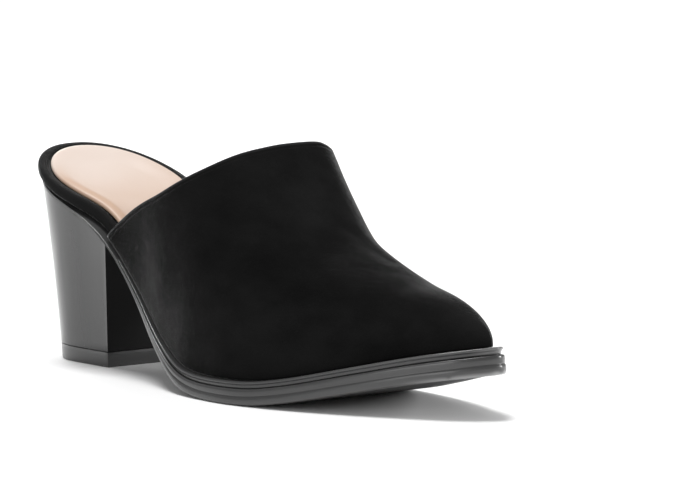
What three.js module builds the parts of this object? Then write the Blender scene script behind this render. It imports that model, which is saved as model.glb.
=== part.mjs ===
import * as THREE from 'three';
import { mergeVertices } from 'three/addons/utils/BufferGeometryUtils.js';

// A woman's right mule with a block heel, in millimetres.
// +X runs from the heel to the toe, +Y to the inner side of the foot, +Z up from the floor.
// Shares in the tables are of the named sizes below.

// Plan and side sizes
const SOLE_LENGTH = 235;
const BALL_WIDTH = 77;
const SEAT_HEIGHT = 69.5;
const TOE_SPRING = 15.5;
const VAMP_HEIGHT = 87;

// Sole sizes
const OUTSOLE_THICKNESS = 7.4;
const OUTSOLE_SHOULDER = 0.7;
const OUTSOLE_NOTCH = 0.5;
const OUTSOLE_STEP = 0.35;
const TREAD_ROUND = 1.1;
const WELT_THICKNESS = 2.4;
const WELT_SETBACK = 0.9;
const WELT_RECESS = 0.7;
const WELT_MARGIN = 3.5;
const WELT_SEAT = 4.5;

// Upper sizes
const UPPER_WALL = 1.9;
const TOE_SETBACK = 12;

// Footbed and insole sizes
const FOOTBED_THICKNESS = 3;
const FOOTBED_CLEARANCE = 0.75;
const BOARD_EDGE = 1.4;
const WALL_LEAN = 0.9;
const RIM_HEIGHT = 4.9;
const RIM_WIDTH = 3.4;
const RIM_BULGE = 1;
const RIM_ROUND = 0.9;
const RIM_BENDS = [0.35, 0.75];
const RIM_TOP_BULGE = 0.3;
const RIM_LIP = 0.7;
const BOARD_ROUND = 0.4;
const INSOLE_THICKNESS = 2.9;
const INSOLE_DISH = 1.1;
const INSOLE_EDGE = 0.9;
const INSOLE_ROLL = 0.6;
const INSOLE_TOE_GAP = 2.5;

// Heel sizes
const HEEL_TOP_LENGTH = 56.5;
const HEEL_BASE_LENGTH = 41;
const HEEL_BASE_SET = 9;
const HEEL_BASE_WIDTH = 43.4;
const HEEL_LEDGE = 0.7;
const TOP_LIFT_THICKNESS = 5.5;
const TOP_LIFT_CHAMFER = 0.5;

// Fitting clearance between neighbouring pieces, and under the upper's curved lower edge
const GAP = 0.3;
const UPPER_GAP = 0.45;

// Plan outline of the sole: edges on the outer and inner side of a centre line, and that line's swing
// towards the inner side, as shares of BALL_WIDTH. The round ends are closed by ellipses.
const PLAN = [
  { at: 0.00, outer: 0.373, inner: 0.373, swing: 0.000 },
  { at: 0.12, outer: 0.374, inner: 0.370, swing: 0.000 },
  { at: 0.23, outer: 0.371, inner: 0.345, swing: 0.000 },
  { at: 0.33, outer: 0.400, inner: 0.369, swing: -0.010 },
  { at: 0.43, outer: 0.467, inner: 0.410, swing: -0.038 },
  { at: 0.53, outer: 0.533, inner: 0.450, swing: -0.056 },
  { at: 0.62, outer: 0.552, inner: 0.449, swing: -0.052 },
  { at: 0.70, outer: 0.506, inner: 0.429, swing: -0.043 },
  { at: 0.78, outer: 0.418, inner: 0.392, swing: -0.030 },
  { at: 0.86, outer: 0.306, inner: 0.314, swing: -0.008 },
  { at: 0.92, outer: 0.220, inner: 0.225, swing: 0.022 },
  { at: 1.00, outer: 0.124, inner: 0.112, swing: 0.086 },
];
const HEEL_ROUND = 0.13;
const NOSE_ROUND = 0.06;
const SEAT_FULLNESS = 2.2;

// The middle line that cross sections bend towards, as shares of those round ends
const SPINE_BACK = 0.9;
const SPINE_FRONT = 1.6;

// Side profile of the sole's underside: the arch as a share of SEAT_HEIGHT, the toe's rise as a share of
// TOE_SPRING; then the outsole's and welt's thickness and the welt's margin as shares of their own sizes.
const PROFILE = [
  { at: 0.000, arch: 1.000, spring: 0.00, outsole: 0.12, welt: 0.00, margin: 0.20 },
  { at: 0.090, arch: 0.880, spring: 0.00, outsole: 0.12, welt: 0.00, margin: 0.20 },
  { at: 0.210, arch: 0.735, spring: 0.00, outsole: 0.13, welt: 0.00, margin: 0.20 },
  { at: 0.311, arch: 0.486, spring: 0.00, outsole: 0.20, welt: 0.36, margin: 0.28 },
  { at: 0.412, arch: 0.200, spring: 0.00, outsole: 0.45, welt: 0.60, margin: 0.55 },
  { at: 0.514, arch: 0.025, spring: 0.00, outsole: 0.70, welt: 0.80, margin: 0.90 },
  { at: 0.585, arch: 0.000, spring: 0.00, outsole: 0.78, welt: 0.88, margin: 1.00 },
  { at: 0.660, arch: 0.000, spring: 0.00, outsole: 0.82, welt: 0.92, margin: 1.00 },
  { at: 0.716, arch: 0.000, spring: 0.10, outsole: 0.85, welt: 0.94, margin: 1.00 },
  { at: 0.818, arch: 0.000, spring: 0.43, outsole: 0.92, welt: 0.97, margin: 1.00 },
  { at: 0.919, arch: 0.000, spring: 0.78, outsole: 0.97, welt: 1.00, margin: 1.10 },
  { at: 1.000, arch: 0.000, spring: 1.00, outsole: 1.00, welt: 1.00, margin: 1.40 },
];

// Cross sections of the last: the ridge's height over the welt as a share of VAMP_HEIGHT, its lean to the
// inner side and the walls' flare as shares of BALL_WIDTH, and how full each side is (0.55 is an ellipse).
const LAST = [
  { at: 0.20, ridge: 1.520, lean: 0.090, flare: 0.020, outerFull: 0.50, innerFull: 0.66 },
  { at: 0.35, ridge: 1.280, lean: 0.110, flare: 0.030, outerFull: 0.52, innerFull: 0.69 },
  { at: 0.42, ridge: 1.161, lean: 0.130, flare: 0.035, outerFull: 0.55, innerFull: 0.74 },
  { at: 0.50, ridge: 1.029, lean: 0.131, flare: 0.035, outerFull: 0.54, innerFull: 0.79 },
  { at: 0.58, ridge: 0.801, lean: 0.108, flare: 0.030, outerFull: 0.55, innerFull: 0.66 },
  { at: 0.66, ridge: 0.576, lean: 0.087, flare: 0.025, outerFull: 0.56, innerFull: 0.54 },
  { at: 0.74, ridge: 0.440, lean: 0.075, flare: 0.020, outerFull: 0.56, innerFull: 0.52 },
  { at: 0.82, ridge: 0.314, lean: 0.070, flare: 0.015, outerFull: 0.56, innerFull: 0.56 },
  { at: 0.90, ridge: 0.211, lean: 0.068, flare: 0.010, outerFull: 0.57, innerFull: 0.57 },
  { at: 0.96, ridge: 0.093, lean: 0.074, flare: 0.000, outerFull: 0.57, innerFull: 0.57 },
];

// Topline: where it crosses each side, as a share of SOLE_LENGTH, by the share of the way up that side
const TOPLINE = [
  { up: 0.00, outer: 0.240, inner: 0.238 },
  { up: 0.13, outer: 0.311, inner: 0.318 },
  { up: 0.34, outer: 0.414, inner: 0.448 },
  { up: 0.58, outer: 0.494, inner: 0.523 },
  { up: 0.80, outer: 0.536, inner: 0.546 },
  { up: 1.00, outer: 0.549, inner: 0.549 },
];

// Heel: how far each level has come from the top outline to the base outline
const HEEL_LEVELS = [
  { down: 0.00, taper: 0.00 },
  { down: 0.12, taper: 0.16 },
  { down: 0.25, taper: 0.32 },
  { down: 0.50, taper: 0.58 },
  { down: 0.75, taper: 0.82 },
  { down: 1.00, taper: 1.00 },
];

// Across the insole from its rolled edge to its middle: how much of the dish is reached
const DISH = [
  { inwards: 0.00, down: 0.00 },
  { inwards: 0.30, down: 0.55 },
  { inwards: 0.65, down: 0.90 },
  { inwards: 1.00, down: 1.00 },
];

// The middle of the heel starts this share of its length in from the back
const HEEL_MIDDLE = 0.45;

// Shares of the way up: the notch in the sole's side, and the bend of the welt from its recess to its bead
const NOTCH_UP = 0.52;
const BEAD_BEND = [0.36, 0.54];
const BEAD_TOP = 0.8;

// Places along the sole, as shares of its length: where the welt starts, where the ledge over the heel
// fades out, where the footbed slips inside the upper and where its rim has come down to the board
const WELT_START = 0.28;
const LEDGE_END = [0.10, 0.20];
const UPPER_START = [0.14, 0.225];
const RIM_END = [0.20, 0.30];
const INSOLE_TOE = [0.75, 1];

// Steps along and across the pieces
const STEPS_SEAT = 11;
const STEPS_FRONT = 25;
const STEPS_UPPER = 30;
const STEPS_ROUND = 24;
const RIDGE_STEP = 0.01;
const EDGE_STEP = 0.002;

// No piece's edge reaches further than this share of the way to the middle line
const DEEPEST_SHARE = 0.7;

// A smooth curve through one column of a table, without overshoot between its rows
function column(table, name, { key = 'at', flatEnd = false } = {}) {
  const xs = table.map((row) => row[key]);
  const ys = table.map((row) => row[name]);
  const count = xs.length;
  const secants = [];
  for (let i = 0; i < count - 1; i += 1) {
    secants.push((ys[i + 1] - ys[i]) / (xs[i + 1] - xs[i]));
  }
  const slopes = xs.map((_, i) => {
    if (i === 0) return secants[0];
    if (i === count - 1) return flatEnd ? 0 : secants[count - 2];
    const before = secants[i - 1];
    const after = secants[i];
    return before * after <= 0 ? 0 : (2 * before * after) / (before + after);
  });
  return (x) => {
    const clamped = THREE.MathUtils.clamp(x, xs[0], xs[count - 1]);
    let i = 0;
    while (i < count - 2 && clamped > xs[i + 1]) i += 1;
    const width = xs[i + 1] - xs[i];
    const t = (clamped - xs[i]) / width;
    const bend = t * t * (3 - 2 * t);
    const rise = t * (1 - t) * (1 - t) * width * slopes[i];
    const fall = t * t * (1 - t) * width * slopes[i + 1];
    return ys[i] * (1 - bend) + ys[i + 1] * bend + rise - fall;
  };
}

const planOuter = column(PLAN, 'outer');
const planInner = column(PLAN, 'inner');
const planSwing = column(PLAN, 'swing');
const archShare = column(PROFILE, 'arch');
const springShare = column(PROFILE, 'spring');
const outsoleShare = column(PROFILE, 'outsole');
const weltShare = column(PROFILE, 'welt');
const marginShare = column(PROFILE, 'margin');
const ridgeShare = column(LAST, 'ridge');
const leanShare = column(LAST, 'lean');
const flareShare = column(LAST, 'flare');
const fullness = [column(LAST, 'outerFull'), column(LAST, 'innerFull')];
const toplineAt = ['outer', 'inner'].map((side) => column(TOPLINE, side, { key: 'up', flatEnd: true }));
const heelTaper = column(HEEL_LEVELS, 'taper', { key: 'down' });

const OUTER = 0;
const INNER = 1;
const SIDE_SIGN = [-1, 1];

// Heights along the shoe, over the floor
const share = (x) => x / SOLE_LENGTH;
const undersideZ = (x) => archShare(share(x)) * SEAT_HEIGHT + springShare(share(x)) * TOE_SPRING;
const outsoleTopZ = (x) => undersideZ(x) + outsoleShare(share(x)) * OUTSOLE_THICKNESS;
const weltTopZ = (x) => outsoleTopZ(x) + GAP + weltShare(share(x)) * WELT_THICKNESS;
const bedZ = (x) => weltTopZ(x) + GAP;
const marginAt = (x) => marginShare(share(x)) * WELT_MARGIN;

// Stations go from 0 at the back of the seat to 1 at the tip of the toe, closer together at both ends
const stationX = (station) => (SOLE_LENGTH * (1 - Math.cos(Math.PI * station))) / 2;
const stationOf = (at) => Math.acos(1 - 2 * at) / Math.PI;
const BREAST_STATION = stationOf(HEEL_TOP_LENGTH / SOLE_LENGTH);
const WELT_STATION = stationOf(WELT_START);
const STATIONS = [
  ...stationsBetween(0, BREAST_STATION, STEPS_SEAT).slice(0, -1),
  BREAST_STATION,
  ...stationsBetween(WELT_STATION, 1, STEPS_FRONT),
];

function halfWidth(x, side) {
  const at = share(x);
  const width = (side === OUTER ? planOuter(at) : planInner(at)) * BALL_WIDTH;
  if (at < HEEL_ROUND) return width * Math.sqrt(Math.max(0, 1 - (1 - at / HEEL_ROUND) ** SEAT_FULLNESS));
  if (at > 1 - NOSE_ROUND) return width * Math.sqrt(Math.max(0, 1 - (1 - (1 - at) / NOSE_ROUND) ** 2));
  return width;
}

function centreY(x) {
  return planSwing(share(x)) * BALL_WIDTH;
}

// A point on the sole's outline, moved inwards square to it by inset
function edgePoint(station, side, inset = 0) {
  const x = stationX(station);
  if (station <= 0) return new THREE.Vector2(inset, centreY(0));
  if (station >= 1) return new THREE.Vector2(SOLE_LENGTH - inset, centreY(SOLE_LENGTH));
  const before = stationX(Math.max(0, station - EDGE_STEP));
  const after = stationX(Math.min(1, station + EDGE_STEP));
  const sign = SIDE_SIGN[side];
  const yAt = (place) => centreY(place) + sign * halfWidth(place, side);
  const tangent = new THREE.Vector2(after - before, yAt(after) - yAt(before)).normalize();
  const inward = new THREE.Vector2(tangent.y, -tangent.x).multiplyScalar(sign);
  return new THREE.Vector2(x, yAt(x)).addScaledVector(inward, inset);
}

// The line down the middle that cross sections bend towards near the round ends
function spinePoint(station) {
  const back = HEEL_ROUND * SOLE_LENGTH * SPINE_BACK;
  const front = SOLE_LENGTH * (1 - NOSE_ROUND * SPINE_FRONT);
  const x = back + (front - back) * station;
  const straight = stationX(station);
  const bend = Math.abs(2 * station - 1) ** 3;
  const place = straight + (x - straight) * bend;
  return new THREE.Vector2(THREE.MathUtils.clamp(place, back, front), centreY(place));
}

// One point of a flat piece's section: inset square to the edge, then depth towards the spine, then a
// share of the way that is left to it
function sectionPoint(station, side, { inset = 0, depth = 0, inwards = 0, height }) {
  const spine = spinePoint(station);
  const plan = edgePoint(station, side, inset);
  const way = Math.min(depth / plan.distanceTo(spine), DEEPEST_SHARE);
  plan.lerp(spine, way).lerp(spine, inwards);
  return new THREE.Vector3(plan.x, plan.y, height(plan.x));
}

// A full cross section from the outer edge, over the spine, to the inner edge
function crossSection(station, stops) {
  const outer = stops.map((stop) => sectionPoint(station, OUTER, stop));
  const inner = stops.map((stop) => sectionPoint(station, INNER, stop));
  const last = stops[stops.length - 1];
  const mirrored = last.inwards >= 1 ? inner.slice(0, -1) : inner;
  return outer.concat(mirrored.reverse());
}

// Joins rows of sections into one closed solid. Each row holds an under line and an over line, both from
// the outer to the inner side. A row that has folded onto the middle line needs no cap.
function solidFromRows(rows, { capStart = false, capEnd = false } = {}) {
  const positions = [];
  const indices = [];
  const loops = rows.map((row) => row.under.concat([...row.over].reverse()));
  const size = loops[0].length;
  for (const loop of loops) {
    for (const point of loop) positions.push(point.x, point.y, point.z);
  }
  const spot = (i) => new THREE.Vector3().fromArray(positions, 3 * i);
  const quad = (a, b, c, d) => {
    const shortest = spot(a).distanceTo(spot(c)) <= spot(b).distanceTo(spot(d));
    indices.push(...(shortest ? [a, b, c, a, c, d] : [a, b, d, b, c, d]));
  };
  for (let i = 0; i < loops.length - 1; i += 1) {
    for (let j = 0; j < size; j += 1) {
      const next = (j + 1) % size;
      quad(i * size + j, i * size + next, (i + 1) * size + next, (i + 1) * size + j);
    }
  }
  const width = rows[0].under.length;
  const cap = (row, flip) => {
    const start = row * size;
    for (let j = 0; j < width - 1; j += 1) {
      const corners = [start + j, start + size - 1 - j, start + size - 2 - j, start + j + 1];
      quad(...(flip ? corners.reverse() : corners));
    }
  };
  if (capStart) cap(0, false);
  if (capEnd) cap(rows.length - 1, true);
  return closedGeometry(positions, indices);
}

// Merges shared corners, drops faces without area and faces that lie back to back where a row has
// folded, and turns the rest outwards
function closedGeometry(positions, indices) {
  const loose = new THREE.BufferGeometry();
  loose.setAttribute('position', new THREE.Float32BufferAttribute(positions, 3));
  loose.setIndex(indices);
  const merged = mergeVertices(loose, 1e-3);
  const faces = [];
  for (let i = 0; i < indices.length; i += 3) {
    const face = Array.from(merged.index.array.slice(i, i + 3));
    if (new Set(face).size === 3) faces.push(face);
  }
  const corners = faces.map((face) => [...face].sort((a, b) => a - b).join(' '));
  const uses = new Map();
  for (const key of corners) uses.set(key, (uses.get(key) ?? 0) + 1);
  const kept = faces.filter((_, i) => uses.get(corners[i]) === 1).flat();
  if (signedVolume(merged.attributes.position, kept) < 0) kept.reverse();
  merged.setIndex(kept);
  merged.computeVertexNormals();
  return merged;
}

function signedVolume(position, index) {
  const [a, b, c] = [new THREE.Vector3(), new THREE.Vector3(), new THREE.Vector3()];
  let total = 0;
  for (let i = 0; i < index.length; i += 3) {
    a.fromBufferAttribute(position, index[i]);
    b.fromBufferAttribute(position, index[i + 1]);
    c.fromBufferAttribute(position, index[i + 2]);
    total += a.dot(b.cross(c)) / 6;
  }
  return total;
}

function stationsBetween(first, last, steps) {
  const before = Array.from({ length: steps }, (_, i) => THREE.MathUtils.lerp(first, last, i / steps));
  return [...before, last];
}

// Outsole: tread face with a rounded edge, side wall in two layers with a notch between them, and a
// raised middle that fills the welt's ring
function outsoleGeometry() {
  const rows = STATIONS.map((station) => {
    const x = stationX(station);
    const scale = outsoleShare(share(x));
    const thickness = outsoleTopZ(x) - undersideZ(x);
    const tucked = HEEL_LEDGE * (1 - THREE.MathUtils.smoothstep(share(x), ...LEDGE_END));
    const round = TREAD_ROUND * scale;
    const notch = OUTSOLE_NOTCH * scale;
    const shoulder = OUTSOLE_SHOULDER * scale;
    const stepped = tucked + OUTSOLE_STEP * marginShare(share(x)) * scale;
    const inset = marginAt(x);
    const depth = WELT_SEAT;
    const low = (drop) => (place) => undersideZ(place) + drop;
    const under = crossSection(station, [
      { inset: tucked + round * 0.3, height: low(round * 0.3) },
      { inset: tucked + round, height: low(0) },
      { inset, depth, height: low(0) },
      { inset, depth, inwards: 0.5, height: low(0) },
      { inset, depth, inwards: 1, height: low(0) },
    ]);
    const over = crossSection(station, [
      { inset: tucked, height: low(round) },
      { inset: tucked, height: low(thickness * NOTCH_UP - notch) },
      { inset: stepped + notch, height: low(thickness * NOTCH_UP) },
      { inset: stepped, height: low(thickness * NOTCH_UP + notch) },
      { inset: stepped, height: low(thickness - shoulder) },
      { inset: stepped + shoulder, height: outsoleTopZ },
      { inset, depth, height: outsoleTopZ },
      { inset, depth, height: weltTopZ },
      { inset, depth, inwards: 0.5, height: weltTopZ },
      { inset, depth, inwards: 1, height: weltTopZ },
    ]);
    return { under, over };
  });
  return solidFromRows(rows);
}

// Welt: a rounded bead over a recess, from one end of the heel breast round the toe to the other
function weltGeometry() {
  const along = STATIONS.filter((station) => station >= WELT_STATION);
  const path = along.map((station) => ({ station, side: OUTER }));
  path.push(...along.slice(0, -1).reverse().map((station) => ({ station, side: INNER })));
  const rows = path.map(({ station, side }) => {
    const x = stationX(station);
    const thickness = weltTopZ(x) - outsoleTopZ(x) - GAP;
    const bead = WELT_SETBACK * marginShare(share(x));
    const recess = bead + WELT_RECESS * weltShare(share(x));
    const round = thickness * (1 - BEAD_TOP);
    const level = (part) => (place) => outsoleTopZ(place) + GAP + part * thickness;
    const edge = (inset, part) => sectionPoint(station, side, { inset, height: level(part) });
    const inner = { inset: marginAt(x), depth: WELT_SEAT - GAP };
    const floor = [0, 1, 2, 3].map((i) => edge(THREE.MathUtils.lerp(recess, marginAt(x), i / 3), 0));
    return {
      under: [...floor, sectionPoint(station, side, { ...inner, height: level(0) })],
      over: [
        edge(recess, BEAD_BEND[0]),
        edge(bead, BEAD_BEND[1]),
        edge(bead, BEAD_TOP),
        edge(bead + round, 1),
        sectionPoint(station, side, { ...inner, height: level(1) }),
      ],
    };
  });
  return solidFromRows(rows, { capStart: true, capEnd: true });
}

// The ridge along the top of the last. It stops short of the tip of the toe.
function ridgePoint(station) {
  const x = stationX(station) - TOE_SETBACK * share(stationX(station)) ** 6;
  const z = weltTopZ(x) + UPPER_GAP + ridgeShare(share(x)) * VAMP_HEIGHT;
  return new THREE.Vector3(x, leanShare(share(x)) * BALL_WIDTH, z);
}

// The upper's outer surface: a rib runs from the welt up to the ridge on each side. Its two handles stand
// on the welt and follow the ridge's own slope.
function lastPoint(station, side, up) {
  const x = stationX(station);
  const foot = edgePoint(station, side, marginAt(x));
  const base = new THREE.Vector3(foot.x, foot.y, weltTopZ(foot.x) + UPPER_GAP);
  const ridge = ridgePoint(station);
  const ahead = new THREE.Vector3().subVectors(ridge, ridgePoint(station - RIDGE_STEP));
  const slope = ahead.z / ahead.x;
  const full = fullness[side](share(ridge.x));
  const across = new THREE.Vector2(base.x - ridge.x, base.y - ridge.y);
  const flare = across.clone().setLength(flareShare(share(x)) * BALL_WIDTH);
  const wall = new THREE.Vector3(base.x + flare.x, base.y + flare.y, base.z + (ridge.z - base.z) * full);
  const crown = new THREE.Vector3(across.x * full, across.y * full, across.x * full * slope).add(ridge);
  return new THREE.CubicBezierCurve3(base, wall, crown, ridge).getPoint(up);
}

// Upper: the ribs from the topline to the toe, given a wall inwards
function upperGeometry() {
  const steps = STEPS_UPPER;
  const round = STEPS_ROUND;
  const outside = [];
  for (let i = 0; i <= steps; i += 1) {
    const line = [];
    for (let j = 0; j <= round; j += 1) {
      const side = j <= round / 2 ? OUTER : INNER;
      const up = side === OUTER ? (2 * j) / round : 2 - (2 * j) / round;
      const start = stationOf(toplineAt[side](up));
      const station = i === steps ? 1 : start + ((1 - start) * i) / steps;
      const even = i === steps && side === INNER ? OUTER : side;
      line.push(lastPoint(station, even, up));
    }
    outside.push(line);
  }
  const corner = (i, j) => {
    if (i > steps) return outside[2 * steps - i][round - j];
    return outside[Math.max(0, i)][THREE.MathUtils.clamp(j, 0, round)];
  };
  const rows = outside.map((line, i) => {
    const inside = line.map((point, j) => {
      const along = new THREE.Vector3().subVectors(corner(i + 1, j), corner(i - 1, j));
      const upwards = new THREE.Vector3().subVectors(corner(i, j + 1), corner(i, j - 1));
      const inward = upwards.cross(along).normalize();
      const moved = point.clone().addScaledVector(inward, UPPER_WALL);
      if (j === 0 || j === round) moved.z = weltTopZ(moved.x) + UPPER_GAP;
      return moved;
    });
    return { under: inside, over: line };
  });
  return solidFromRows(rows, { capStart: true });
}

// How far a station has gone from the bare seat, at 0, to inside the upper, at 1
const insideUpper = (x) => THREE.MathUtils.smoothstep(share(x), ...UPPER_START);
const behindRim = (x) => THREE.MathUtils.smoothstep(share(x), ...RIM_END);
const footbedInset = (x) => insideUpper(x) * marginAt(x);
const footbedDepth = (x) => insideUpper(x) * (UPPER_WALL + FOOTBED_CLEARANCE);
const rimWidthAt = (x) => THREE.MathUtils.lerp(RIM_WIDTH, BOARD_EDGE, behindRim(x));
const rimHeightAt = (x) => THREE.MathUtils.lerp(RIM_HEIGHT, FOOTBED_THICKNESS, behindRim(x));

// Footbed: the insole board with its covered, raised and rounded rim round the seat
function footbedGeometry() {
  const rows = STATIONS.map((station) => {
    const x = stationX(station);
    const edge = footbedInset(x);
    const height = rimHeightAt(x);
    const lip = (height - FOOTBED_THICKNESS) * RIM_LIP;
    const bulge = RIM_BULGE * (1 - insideUpper(x));
    const outside = footbedDepth(x);
    const leaning = outside + WALL_LEAN * insideUpper(x);
    const inside = leaning + rimWidthAt(x);
    const level = (rise) => (place) => bedZ(place) + rise;
    const under = crossSection(station, [
      { inset: edge + BOARD_ROUND, depth: outside, height: level(0) },
      { inset: edge, depth: inside, inwards: 0.5, height: level(0) },
      { inset: edge, depth: inside, inwards: 1, height: level(0) },
    ]);
    const over = crossSection(station, [
      { inset: edge - bulge, depth: outside, height: level(height * RIM_BENDS[0]) },
      { inset: edge - bulge, depth: leaning, height: level(height * RIM_BENDS[1]) },
      { inset: edge - bulge * RIM_TOP_BULGE, depth: leaning, height: level(height) },
      { inset: edge, depth: inside - RIM_ROUND, height: level(height) },
      { inset: edge, depth: inside, height: level(FOOTBED_THICKNESS + lip) },
      { inset: edge, depth: inside, height: level(FOOTBED_THICKNESS) },
      { inset: edge, depth: inside, inwards: 0.5, height: level(FOOTBED_THICKNESS) },
      { inset: edge, depth: inside, inwards: 1, height: level(FOOTBED_THICKNESS) },
    ]);
    return { under, over };
  });
  return solidFromRows(rows);
}

// Insole sock: a padded sheet inside the rim, softly dished across
function insoleGeometry() {
  const rows = STATIONS.map((station) => {
    const x = stationX(station);
    const inset = footbedInset(x);
    const shortToe = INSOLE_TOE_GAP * THREE.MathUtils.smoothstep(share(x), ...INSOLE_TOE);
    const depth = footbedDepth(x) + WALL_LEAN * insideUpper(x) + rimWidthAt(x) + GAP + shortToe;
    const rounded = depth + INSOLE_EDGE;
    const level = (rise) => (place) => bedZ(place) + FOOTBED_THICKNESS + GAP + rise;
    const under = crossSection(station, [
      { inset, depth, height: level(0) },
      { inset, depth, inwards: 0.5, height: level(0) },
      { inset, depth, inwards: 1, height: level(0) },
    ]);
    const dished = DISH.map(({ inwards, down }) => {
      return { inset, depth: rounded, inwards, height: level(INSOLE_THICKNESS - INSOLE_DISH * down) };
    });
    const over = crossSection(station, [
      { inset, depth, height: level(INSOLE_THICKNESS * INSOLE_ROLL) },
      ...dished,
    ]);
    return { under, over };
  });
  return solidFromRows(rows);
}

// The heel's plan at one station of the seat, across from the edge, at 0, to the middle, at 1.
// Taper 0 is the outline under the seat and taper 1 the one on the floor.
function heelPlan(station, side, inwards, taper, inset = 0) {
  const edge = edgePoint(station, side, HEEL_LEDGE + inset);
  const along = stationX(station) / HEEL_TOP_LENGTH;
  const middle = new THREE.Vector2(HEEL_TOP_LENGTH * THREE.MathUtils.lerp(HEEL_MIDDLE, 1, along), 0);
  if (station >= BREAST_STATION) edge.x = HEEL_TOP_LENGTH;
  const seat = edge.lerp(middle, inwards);
  const lengthwise = HEEL_BASE_LENGTH / (HEEL_TOP_LENGTH - HEEL_LEDGE);
  const sideways = HEEL_BASE_WIDTH / (BALL_WIDTH * 2 * planOuter(HEEL_ROUND) - 2 * HEEL_LEDGE);
  const base = new THREE.Vector2(HEEL_BASE_SET + (seat.x - HEEL_LEDGE) * lengthwise, seat.y * sideways);
  return seat.lerp(base, taper);
}

// Rows of the heel between two heights, which are given as shares of the way down at each edge
function heelRows(top, bottom, levels, chamfer) {
  const shares = [0, 0.5, 1];
  const place = (station, side, inwards, part) => {
    const edge = edgePoint(station, side, HEEL_LEDGE);
    const seatZ = undersideZ(Math.min(edge.x, HEEL_TOP_LENGTH)) - GAP;
    const height = THREE.MathUtils.lerp(top(seatZ), bottom, part);
    const down = 1 - height / seatZ;
    const inset = part >= 1 ? chamfer : 0;
    const plan = heelPlan(station, side, inwards, heelTaper(down), inset);
    const onSeat = part <= 0 && top(seatZ) === seatZ;
    return new THREE.Vector3(plan.x, plan.y, onSeat ? undersideZ(plan.x) - GAP : height);
  };
  const across = (line) => {
    const outer = line(OUTER);
    const inner = line(INNER).slice(0, -1);
    return outer.concat(inner.reverse());
  };
  return STATIONS.filter((station) => station <= BREAST_STATION).map((station) => {
    const over = across((side) => {
      const corners = shares.map((inwards) => place(station, side, inwards, 0));
      const spread = levels.slice(1).map(() => corners[0]);
      return [...spread, ...corners];
    });
    const under = across((side) => {
      const wall = levels.slice(1).map((part) => place(station, side, 0, part));
      const floor = shares.map((inwards) => place(station, side, inwards, 1));
      return [...wall, ...floor];
    });
    return { under, over };
  });
}

// Heel block: from under the seat to the top lift
function heelBlockGeometry() {
  const levels = HEEL_LEVELS.map((row) => row.down);
  const rows = heelRows((seatZ) => seatZ, TOP_LIFT_THICKNESS + GAP, levels, 0);
  return solidFromRows(rows, { capEnd: true });
}

// Top lift: the tread piece that carries the heel
function topLiftGeometry() {
  const rows = heelRows(() => TOP_LIFT_THICKNESS, 0, [0, 0.9, 1], TOP_LIFT_CHAMFER);
  return solidFromRows(rows, { capEnd: true });
}

const shoe = new THREE.Group();

function add(name, geometry, colour, roughness) {
  const material = new THREE.MeshStandardMaterial({ color: colour, roughness, metalness: 0 });
  const mesh = new THREE.Mesh(geometry, material);
  mesh.name = name;
  shoe.add(mesh);
}

add('upper', upperGeometry(), 0x141414, 0.95);
add('insole_sock', insoleGeometry(), 0xe6d3c4, 0.6);
add('footbed', footbedGeometry(), 0x1a1a1a, 0.9);
add('welt', weltGeometry(), 0x2a2a2a, 0.45);
add('outsole', outsoleGeometry(), 0x262626, 0.5);
add('heel_block', heelBlockGeometry(), 0x2c2c2e, 0.25);
add('top_lift', topLiftGeometry(), 0x222222, 0.6);

// The origin is on the floor, in the middle of the shoe's length and width
const box = new THREE.Box3().setFromObject(shoe);
const middle = box.getCenter(new THREE.Vector3());
shoe.position.set(-middle.x, -middle.y, -box.min.z);

export default shoe;
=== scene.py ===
from collections import namedtuple
from math import cos, degrees, exp, radians, sin

import bmesh
import bpy
from mathutils import Matrix, Vector
from mathutils.bvhtree import BVHTree
from mathutils.kdtree import KDTree


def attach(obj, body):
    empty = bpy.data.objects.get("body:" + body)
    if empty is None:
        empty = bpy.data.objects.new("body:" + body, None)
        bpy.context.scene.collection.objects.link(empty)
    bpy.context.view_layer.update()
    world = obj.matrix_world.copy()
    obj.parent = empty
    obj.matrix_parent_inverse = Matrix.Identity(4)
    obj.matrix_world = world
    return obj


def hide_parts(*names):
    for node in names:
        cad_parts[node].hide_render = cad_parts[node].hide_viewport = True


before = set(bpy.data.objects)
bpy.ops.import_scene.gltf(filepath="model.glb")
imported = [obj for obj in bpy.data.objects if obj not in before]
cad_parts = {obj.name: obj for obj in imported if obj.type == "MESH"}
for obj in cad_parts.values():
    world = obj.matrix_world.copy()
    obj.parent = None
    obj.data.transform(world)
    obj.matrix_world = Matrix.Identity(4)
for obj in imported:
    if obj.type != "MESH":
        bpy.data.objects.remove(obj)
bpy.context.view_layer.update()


# Top lift
# The tread piece under the heel: dense black rubber, cut to the heel's base and pinned on from below.
# Its side is buffed level with the lacquered heel, which leaves the thin seam between them.

SAME_POINT = 0.00002
FLAT_ENOUGH = radians(35)
SQUARE_ENOUGH = radians(50)
SAME_WAY = 0.7
DOWN = (0, 0, -1)
UNDER_LIFT = (-0.087, 0.008, 0)
TREAD = 1


def merged_copy(node):
    """The CAD solid as one merged mesh, mostly of quads."""
    solid = bmesh.new()
    solid.from_mesh(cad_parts[node].data)
    bmesh.ops.remove_doubles(solid, verts=solid.verts, dist=SAME_POINT)
    bmesh.ops.join_triangles(
        solid, faces=solid.faces, angle_face_threshold=FLAT_ENOUGH, angle_shape_threshold=SQUARE_ENOUGH
    )
    return solid


def keep_edges(solid, soft, sharp, most=1.0):
    """Creases the edges: not at all under the soft angle in degrees, and fully over the sharp one."""
    creases = solid.edges.layers.float.new("crease_edge")
    for edge in solid.edges:
        angle = degrees(edge.calc_face_angle(0))
        edge[creases] = most * min(1, max(0, (angle - soft) / (sharp - soft)))


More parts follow.
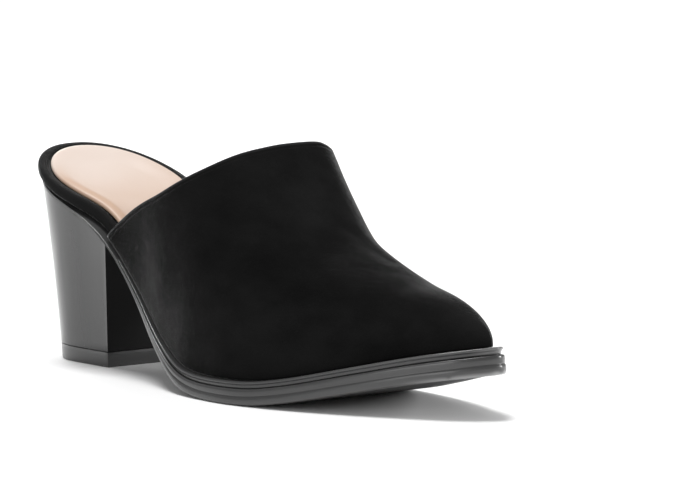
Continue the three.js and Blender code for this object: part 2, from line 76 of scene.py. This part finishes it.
def joined_faces(solid, spot, facing, angle):
    """The face nearest to a spot that looks that way, and all faces joined to it over edges flatter than
    the angle in degrees."""
    candidates = [face for face in solid.faces if face.normal.dot(Vector(facing)) > SAME_WAY]
    first = min(candidates, key=lambda face: (face.calc_center_median() - Vector(spot)).length)
    reached = {first}
    waiting = [first]
    while waiting:
        for edge in waiting.pop().edges:
            if edge.calc_face_angle(0) < radians(angle):
                fresh = set(edge.link_faces) - reached
                reached |= fresh
                waiting += fresh
    return reached


def in_scene(name, data):
    """A new object of a mesh, a lamp or a camera, at the origin."""
    holder = bpy.data.objects.new(name, data)
    bpy.context.scene.collection.objects.link(holder)
    return holder


def mesh_from(solid, name):
    """The bmesh as a mesh. The bmesh is freed."""
    mesh = bpy.data.meshes.new(name)
    solid.to_mesh(mesh)
    solid.free()
    return mesh


def rounded(solid, levels):
    """The same solid subdivided and smoothed, as a fine mesh for further work."""
    mesh = mesh_from(solid, "coarse")
    holder = in_scene("coarse", mesh)
    rounding = holder.modifiers.new("rounding", "SUBSURF")
    rounding.levels = levels
    rounding.render_levels = levels
    fine = bmesh.new()
    fine.from_object(holder, bpy.context.evaluated_depsgraph_get())
    bpy.data.objects.remove(holder)
    bpy.data.meshes.remove(mesh)
    return fine


def finished_piece(solid, node, name, *materials):
    """Makes the piece from its mesh, in place of the CAD node."""
    for face in solid.faces:
        face.smooth = True
    mesh = mesh_from(solid, name)
    for material in materials:
        mesh.materials.append(material)
    piece = in_scene(name, mesh)
    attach(piece, "root")
    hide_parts(node)
    return piece


def broken_edges(piece, width, angle):
    """Takes the sharpness off a hard piece's edges that are sharper than the angle in degrees."""
    edges = piece.modifiers.new("broken_edges", "BEVEL")
    edges.width = width
    edges.segments = 2
    edges.limit_method = "ANGLE"
    edges.angle_limit = radians(angle)
    edges.harden_normals = True


class Wire:
    """One output of a shader node. Arithmetic on it adds the Math nodes that work it out."""

    def __init__(self, finish, socket):
        self.finish = finish
        self.socket = socket

    def math(self, operation, *terms):
        return self.finish.node("Math", {"operation": operation}, dict(enumerate(terms)))

    def __add__(self, other):
        return self.math("ADD", self, other)

    def __radd__(self, other):
        return self.math("ADD", other, self)

    def __sub__(self, other):
        return self.math("SUBTRACT", self, other)

    def __rsub__(self, other):
        return self.math("SUBTRACT", other, self)

    def __mul__(self, other):
        return self.math("MULTIPLY", self, other)

    def __rmul__(self, other):
        return self.math("MULTIPLY", other, self)

    def __abs__(self):
        return self.math("ABSOLUTE", self)

    def clipped(self):
        """Held between 0 and 1."""
        return self.finish.node("Clamp", {}, {"Value": self})

    def step(self, low, high):
        """0 under low and 1 over high, with a soft rise between them."""
        settings = {"interpolation_type": "SMOOTHSTEP"}
        return self.finish.node("MapRange", settings, {"Value": self, "From Min": low, "From Max": high})


class Finish:
    """A material of one Principled surface. Its node method adds any other node."""

    def __init__(self, name):
        self.material = bpy.data.materials.new(name)
        self.material.use_nodes = True
        self.tree = self.material.node_tree
        self.surface = self.tree.nodes["Principled BSDF"]

    def node(self, kind, settings, inputs, output=0):
        made = self.tree.nodes.new("ShaderNode" + kind)
        for name, value in settings.items():
            setattr(made, name, value)
        for name, value in inputs.items():
            self.put(made.inputs[name], value)
        return Wire(self, made.outputs[output])

    def put(self, socket, value):
        if isinstance(value, Wire):
            self.tree.links.new(value.socket, socket)
        else:
            socket.default_value = value

    def set(self, **inputs):
        """Gives the surface its inputs, with _ for a space in their names, and returns the material."""
        for name, value in inputs.items():
            self.put(self.surface.inputs[name.replace("_", " ")], value)
        return self.material

    def place(self, stretch=(1, 1, 1)):
        """Where on the shoe, in metres."""
        spot = self.node("TexCoord", {}, {}, "Object")
        return self.node("Mapping", {}, {"Vector": spot, "Scale": stretch})

    def place_along(self, axis):
        """How far along that axis of the shoe, in metres."""
        return self.node("SeparateXYZ", {}, {"Vector": self.place()}, axis)

    def distance(self, attribute):
        """The distance in metres that spread wrote to the points under that name."""
        return self.node("Attribute", {"attribute_name": attribute}, {}, "Fac")

    def noise(self, scale, detail, stretch=(1, 1, 1), roughness=0.5):
        """Soft noise between 0 and 1, with about as many spots to a metre as its scale."""
        inputs = {"Vector": self.place(stretch), "Scale": scale, "Detail": detail, "Roughness": roughness}
        return self.node("TexNoise", {"normalize": True}, inputs)

    def mix(self, share, first, second):
        """From the first colour, at 0, to the second, at 1."""
        inputs = {0: share, 6: first, 7: second}
        return self.node("Mix", {"data_type": "RGBA"}, inputs, 2)

    def relief(self, height, depth, under=None):
        """A Bump node of that depth in metres, laid over another one."""
        inputs = {"Height": height, "Distance": depth}
        if under is not None:
            inputs["Normal"] = under
        return self.node("Bump", {}, inputs)


def grey(shade):
    return (shade, shade, shade, 1)


def tread_rubber(name, grains_per_metre):
    """Matt rubber with a fine cast grain, scuffed in patches."""
    rubber = Finish(name)
    grain = rubber.noise(scale=grains_per_metre, detail=3)
    scuffs = rubber.noise(scale=70, detail=3)
    return rubber.set(
        Base_Color=rubber.mix(scuffs, grey(0.010), grey(0.022)),
        Roughness=0.45 + 0.25 * scuffs,
        Normal=rubber.relief(grain, depth=0.00006),
    )


INK_DARK = (0.020, 0.020, 0.0202, 1)
INK_PALE = (0.055, 0.055, 0.0555, 1)
INK_PAINTED_HIGHLIGHT = grey(0.32)
TOE_TIP = (0.111, 0.117)
TOE_CORNER = (0.090, 0.112)
HIGHLIGHT_WIDTH = (0.0016, 0.0030)


def edge_ink(name, highlight_from=None):
    """Black ink polished on a rubber side, with fine lengthwise marks. A painted highlight of paler ink
    lies at the tip of the toe, or along the edge that an attribute measures from, and there mostly
    towards the toe."""
    ink = Finish(name)
    marks = ink.noise(scale=80, detail=4, stretch=(0.10, 0.10, 1.8))
    specks = ink.noise(scale=1200, detail=2)
    forward = ink.place_along("X")
    # Painted highlight: paler ink where the toe's tip and lower corner would catch the light.
    if highlight_from is None:
        painted_highlight = 0.35 * forward.step(*TOE_TIP)
    else:
        near_edge = 1 - ink.distance(highlight_from).step(*HIGHLIGHT_WIDTH)
        painted_highlight = near_edge * (0.04 + 0.96 * forward.step(*TOE_CORNER))
    painted_highlight = (painted_highlight * (0.4 + 0.9 * marks)).clipped()
    return ink.set(
        Base_Color=ink.mix(painted_highlight, ink.mix(marks, INK_DARK, INK_PALE), INK_PAINTED_HIGHLIGHT),
        Roughness=0.24 + 0.18 * marks,
        Coat_Weight=0.4,
        Coat_Roughness=0.18,
        Normal=ink.relief(specks, depth=0.00002, under=ink.relief(marks, depth=0.00010)),
    )


lift = merged_copy("top_lift")
keep_edges(lift, soft=20, sharp=35)
for face in joined_faces(lift, UNDER_LIFT, DOWN, angle=15):
    face.material_index = TREAD
lift_ink = edge_ink("lift_ink")
lift_rubber = tread_rubber("lift_rubber", grains_per_metre=900)
top_lift = finished_piece(rounded(lift, levels=2), "top_lift", "top_lift_tread", lift_ink, lift_rubber)
broken_edges(top_lift, width=0.00025, angle=40)


# Heel block
# Moulded in hard plastic, then lacquered black with a satin shine. Its back and sides are rounded, and
# its flat breast is lined with matt black. It is screwed to the seat from above.

AHEAD = (1, 0, 0)
ON_BREAST = (-0.0612, 0.008, 0.03)
BREAST = 1
LACQUER_DARK = (0.005, 0.005, 0.0052, 1)
LACQUER_PALE = (0.010, 0.010, 0.0102, 1)


def close_gap(solid, neighbour, reach, rise):
    """Moves the points within reach of a neighbour up, or down, over the CAD's fitting clearance."""
    other = merged_copy(neighbour)
    surface = BVHTree.FromBMesh(other)
    for vert in solid.verts:
        if surface.find_nearest(vert.co, reach)[0] is not None:
            vert.co.z += rise
    other.free()


def heel_lacquer():
    """Satin black lacquer with faint upright streaks from the spray and fine pits."""
    lacquer = Finish("heel_lacquer")
    streaks = lacquer.noise(scale=120, detail=3, stretch=(1, 1, 0.10))
    pits = lacquer.noise(scale=1800, detail=2)
    return lacquer.set(
        Base_Color=lacquer.mix(streaks, LACQUER_DARK, LACQUER_PALE),
        Roughness=0.20 + 0.12 * streaks,
        Coat_Weight=0.6,
        Coat_Roughness=0.15,
        Normal=lacquer.relief(pits, depth=0.000012, under=lacquer.relief(streaks, depth=0.00012)),
    )


def breast_cover():
    """The matt black lining of the breast, with a fine grain."""
    cover = Finish("breast_cover")
    grain = cover.noise(scale=1600, detail=3)
    return cover.set(
        Base_Color=cover.mix(grain, grey(0.005), grey(0.010)),
        Roughness=0.62 + 0.15 * grain,
        Specular_IOR_Level=0.16,
        Normal=cover.relief(grain, depth=0.00004),
    )


block = merged_copy("heel_block")
keep_edges(block, soft=20, sharp=40)
close_gap(block, "outsole", reach=0.0009, rise=0.0003)
for face in joined_faces(block, ON_BREAST, AHEAD, angle=20):
    face.material_index = BREAST
block = rounded(block, levels=2)
heel = finished_piece(block, "heel_block", "heel_lacquered", heel_lacquer(), breast_cover())
broken_edges(heel, width=0.0004, angle=40)


# Outsole
# One moulded unit of black rubber, with its side wall, its arch and a spring under the toe. A groove
# runs round its side, which is inked and polished. The tread is left as it comes from the mould.

GROOVE_ANGLE = -100
GROOVE_SMOOTHINGS = 4
UNDER_BALL = (0.03, 0.012, 0)


def spread(solid, name, points):
    """Writes each point's distance in metres from the nearest given one, as an attribute of that name."""
    tree = KDTree(len(points))
    for i, point in enumerate(points):
        tree.insert(point, i)
    tree.balance()
    distance = solid.verts.layers.float.new(name)
    for vert in solid.verts:
        vert[distance] = tree.find(vert.co)[2]


unit = merged_copy("outsole")
groove = [edge for edge in unit.edges if degrees(edge.calc_face_angle_signed(0)) < GROOVE_ANGLE]
groove_points = list({vert for edge in groove for vert in edge.verts})
for smoothing in range(GROOVE_SMOOTHINGS):
    bmesh.ops.smooth_vert(
        unit, verts=groove_points, factor=0.5, use_axis_x=True, use_axis_y=True, use_axis_z=True
    )
keep_edges(unit, soft=110, sharp=140, most=0.5)
for face in joined_faces(unit, UNDER_BALL, DOWN, angle=15):
    face.material_index = TREAD
unit = rounded(unit, levels=2)
tread_points = [vert.co for face in unit.faces if face.material_index == TREAD for vert in face.verts]
spread(unit, "from_tread", tread_points)
sole_ink = edge_ink("sole_ink", highlight_from="from_tread")
sole_rubber = tread_rubber("sole_rubber", grains_per_metre=700)
outsole = finished_piece(unit, "outsole", "outsole_unit", sole_ink, sole_rubber)


# Welt
# A thin bead of the same rubber that runs from breast to breast round the toe and frames the upper. It
# is moulded by itself, laid on the sole and inked with it.

bead = merged_copy("welt")
keep_edges(bead, soft=60, sharp=100, most=0.5)
close_gap(bead, "outsole", reach=0.0006, rise=-0.00035)
welt = finished_piece(rounded(bead, levels=2), "welt", "welt_bead", edge_ink("bead_ink"))


# Footbed
# The insole board, with the black suede that wraps its raised edge round the bare heel seat. The suede
# is turned under and held between the board and the sole.

DARK_NAP = grey(0.0030)
LIGHT_NAP = grey(0.0092)
RIM_NAP = grey(0.016)
PAINTED_FOLD_SHEEN = (0.018, 0.018, 0.0185, 1)
FOLD_WIDTH = 0.0016
SHEEN_FADE = (0.0002, 0.0012)
LINE_FADE = (0.0001, 0.0009)


def suede(name, dark, light, from_fold=None):
    """Suede whose short nap lies in soft, brushed patches and catches the light at a low angle. The fold
    that an attribute measures from has a painted sheen of paler nap, with a faint pressed line beside it."""
    nap = Finish(name)
    fibres = nap.noise(scale=2300, detail=4, roughness=0.65)
    brushed = nap.noise(scale=30, detail=4, stretch=(0.7, 1, 1), roughness=0.55)
    strokes = nap.noise(scale=150, detail=3, stretch=(0.5, 1, 1.6), roughness=0.55)
    shade = (0.45 * fibres + 0.9 * brushed.step(0.32, 0.72) + 0.25 * strokes - 0.3).clipped()
    colour = nap.mix(shade, dark, light)
    normal = nap.relief(strokes, depth=0.0003, under=nap.relief(brushed, depth=0.0006))
    if from_fold is not None:
        distance = nap.distance(from_fold)
        # Painted sheen: paler nap colour along the fold.
        colour = nap.mix(1 - distance.step(*SHEEN_FADE), colour, PAINTED_FOLD_SHEEN)
        beside_line = abs(distance - FOLD_WIDTH).step(*LINE_FADE)
        normal = nap.relief(beside_line, depth=0.00012, under=normal)
    return nap.set(
        Base_Color=colour,
        Roughness=0.95,
        Specular_IOR_Level=0.05,
        Sheen_Weight=0.60,
        Sheen_Roughness=0.20,
        Sheen_Tint=grey(0.8),
        Normal=nap.relief(fibres, depth=0.0002, under=normal),
    )


board = merged_copy("footbed")
keep_edges(board, soft=70, sharp=110, most=0.4)
close_gap(board, "outsole", reach=0.0006, rise=-0.0003)
rim_suede = suede("rim_suede", LIGHT_NAP, RIM_NAP)
footbed = finished_piece(rounded(board, levels=2), "footbed", "footbed_rim", rim_suede)


# Insole sock
# Beige lining leather over soft foam, glued inside the rim from the seat to the toe. It is dished for
# the foot, and its edge rolls down into the rim.

PALE = (0.66, 0.56, 0.50, 1)
BLUSH_AND_SHADE = (0.50, 0.345, 0.25, 1)
ROLL_WIDTH = 0.0028
DISH_WIDTH = 0.011
DISH_DEPTH = 0.0012
LOOKS_UP = 0.3
LOOKS_ASIDE = 0.5
SEAT_FRONT = (-0.105, -0.075)
OUTER_SIDE = (-0.012, 0.004)
ROLL_FADE = (0.0003, 0.006)


def beige_leather(name, painted_shade=None):
    """Smooth lining leather with fine pores and a soft blush, deepened where a painted shade is given."""
    leather = Finish(name)
    pores = leather.noise(scale=1500, detail=4)
    shade = 0.25 * leather.noise(scale=24, detail=2).step(0.3, 0.7)
    # Any painted shade is added to the random blush.
    if painted_shade is not None:
        shade = (shade + painted_shade(leather)).clipped()
    return leather.set(
        Base_Color=leather.mix(shade, PALE, BLUSH_AND_SHADE),
        Roughness=0.40 + 0.16 * pores,
        Coat_Weight=0.08,
        Coat_Roughness=0.30,
        Normal=leather.relief(pores, depth=0.00005),
    )


def painted_insole_shade(leather):
    """Painted shade: warmer and darker forward of the heel seat, and most of all on the roll at the outer
    side.
    """
    forward = leather.place_along("X").step(*SEAT_FRONT)
    outer = 1 - leather.place_along("Y").step(*OUTER_SIDE)
    rolled = 1 - leather.distance("from_edge").step(*ROLL_FADE)
    # Painted shade, deepest on the outer roll.
    return forward * (0.4 + 1.2 * outer * rolled)


def soft_step(share):
    """The share held between 0 and 1, with a soft start and a soft end."""
    held = min(1, max(0, share))
    return held * held * (3 - 2 * held)


sock = merged_copy("insole_sock")
keep_edges(sock, soft=85, sharp=120, most=0.3)
sock = rounded(sock, levels=3)
edge_points = [vert.co for vert in sock.verts if abs(vert.normal.z) < LOOKS_ASIDE]
spread(sock, "from_edge", edge_points)
from_edge = sock.verts.layers.float["from_edge"]
for vert in sock.verts:
    if vert.normal.z > LOOKS_UP:
        vert.co.z -= DISH_DEPTH * soft_step((vert[from_edge] - ROLL_WIDTH) / (DISH_WIDTH - ROLL_WIDTH))
sock_leather = beige_leather("sock_leather", painted_insole_shade)
insole = finished_piece(sock, "insole_sock", "insole_padded", sock_leather)


# Upper
# One vamp of black suede with a beige lining, pulled over the last and closed under the insole board.
# The suede is turned in round the topline, where a painted sheen makes the fold a little lighter.

UP = (0, 0, 1)
SUEDE = 0
LINING = 1
ON_VAMP = (0.05, 0.01, 0.05)
IN_VAMP = (0.05, 0.01, 0.04)
TOPLINE_END = 0.02
LOOKS_UNDER = -0.6

# The creases of wear: two on the ridge of the instep, one that climbs the outer side at the ball, and a
# low swelling near the back edge of the outer side.
Crease = namedtuple("Crease", "start end width depth")
CREASES = (
    Crease(start=(0.019, 0.013, 0.078), end=(0.031, 0.0055, 0.064), width=0.006, depth=0.0007),
    Crease(start=(0.040, 0.0118, 0.0576), end=(0.060, 0.0136, 0.0489), width=0.004, depth=0.0003),
    Crease(start=(0.031, -0.0326, 0.0275), end=(0.053, -0.0193, 0.0374), width=0.006, depth=0.0006),
    Crease(start=(-0.028, -0.024, 0.057), end=(-0.018, -0.028, 0.038), width=0.011, depth=-0.0002),
)


def press(solid, crease):
    """Presses a crease into the wall, as a soft trough with a low ridge on each side of it. With a
    negative depth it is a soft ridge."""
    start = Vector(crease.start)
    along = Vector(crease.end) - start
    inwards = -min(solid.verts, key=lambda vert: (vert.co - start).length).normal
    for vert in solid.verts:
        past_start = vert.co - start
        share = min(1, max(0, past_start.dot(along) / along.length_squared))
        away = ((past_start - along * share).length / crease.width) ** 2
        vert.co += inwards * crease.depth * (1 - away) * exp(-away)


vamp = merged_copy("upper")
close_gap(vamp, "welt", reach=0.0007, rise=-0.0005)
topline = vamp.faces.layers.int.new("topline")
outside = joined_faces(vamp, ON_VAMP, UP, angle=50)
inside = joined_faces(vamp, IN_VAMP, DOWN, angle=50)
for face in vamp.faces:
    face.material_index = LINING if face in inside else SUEDE
    between = face not in outside | inside and face.normal.z > LOOKS_UNDER
    face[topline] = int(between and face.calc_center_median().x < TOPLINE_END)
keep_edges(vamp, soft=50, sharp=100, most=0.5)
vamp = rounded(vamp, levels=2)
vamp.normal_update()
for crease in CREASES:
    press(vamp, crease)
topline = vamp.faces.layers.int["topline"]
fold_points = [vert.co for face in vamp.faces if face[topline] for vert in face.verts]
spread(vamp, "from_topline", fold_points)
vamp_suede = suede("vamp_suede", DARK_NAP, LIGHT_NAP, from_fold="from_topline")
lining = beige_leather("lining_leather")
upper = finished_piece(vamp, "upper", "upper_suede", vamp_suede, lining)


# Studio
# A pale floor that runs out of view, one soft sun and three soft lamps, and a long lens that stands
# where the photographer stood. Its length is given in the photograph's pixels.

FLOOR_REACH = 6
ground = bmesh.new()
bmesh.ops.create_grid(ground, x_segments=1, y_segments=1, size=FLOOR_REACH)
floor = in_scene("floor", mesh_from(ground, "floor"))
paper = Finish("paper")
floor.data.materials.append(paper.set(Base_Color=grey(0.86), Roughness=0.8, Specular_IOR_Level=0.1))

world = bpy.data.worlds.new("studio")
bpy.context.scene.world = world
world.use_nodes = True
surroundings = world.node_tree.nodes["Background"]
surroundings.inputs["Color"].default_value = grey(1)
surroundings.inputs["Strength"].default_value = 0.35


def softbox(name, place, target, size, power):
    """A rectangular lamp that looks at its target, with its size in metres and its power in watts."""
    lamp = bpy.data.lights.new(name, "AREA")
    lamp.shape = "RECTANGLE"
    lamp.size, lamp.size_y = size
    lamp.energy = power
    aim = (Vector(target) - Vector(place)).to_track_quat("-Z", "Y")
    in_scene(name, lamp).matrix_world = Matrix.Translation(place) @ aim.to_matrix().to_4x4()


SUN_FROM = Vector((-0.24, 0, 1))
daylight = bpy.data.lights.new("daylight", "SUN")
daylight.energy = 2.8
daylight.angle = radians(24)
in_scene("daylight", daylight).matrix_world = SUN_FROM.to_track_quat("Z", "Y").to_matrix().to_4x4()
softbox("front", place=(0.9, -1.9, 0.6), target=(0, 0, 0.04), size=(1.2, 0.9), power=10)
softbox("heel_side", place=(-1.2, 0.60, 0.30), target=(-0.08, 0, 0.04), size=(0.4, 0.7), power=8)
softbox("back_right", place=(0.9, 1.2, 0.45), target=(0.07, 0, 0.03), size=(0.5, 0.4), power=14)

AZIMUTH = radians(50.93)
ELEVATION = radians(7.01)
ROLL = radians(0.236)
DISTANCE = 2.893
AIM = Vector((-0.001, 0.00796, 0))
AIM_RIGHT = 0.02854
AIM_UP = 0.05084
PIXELS_WIDE = 700
FOCAL_PIXELS = 8167
SENSOR = 36

back = Vector((sin(AZIMUTH) * cos(ELEVATION), -cos(AZIMUTH) * cos(ELEVATION), sin(ELEVATION)))
level = Vector((cos(AZIMUTH), sin(AZIMUTH), 0))
upright = back.cross(level)
right = level * cos(ROLL) + upright * sin(ROLL)
up = upright * cos(ROLL) - level * sin(ROLL)
lens = bpy.data.cameras.new("camera")
lens.sensor_width = SENSOR
lens.lens = FOCAL_PIXELS * SENSOR / PIXELS_WIDE
lens.clip_end = 20
camera = in_scene("camera", lens)
stand = Matrix((right, up, back)).transposed().to_4x4()
stand.translation = AIM + right * AIM_RIGHT + up * AIM_UP + back * DISTANCE
camera.matrix_world = stand
bpy.context.scene.camera = camera
bpy.context.scene.view_settings.view_transform = "Standard"
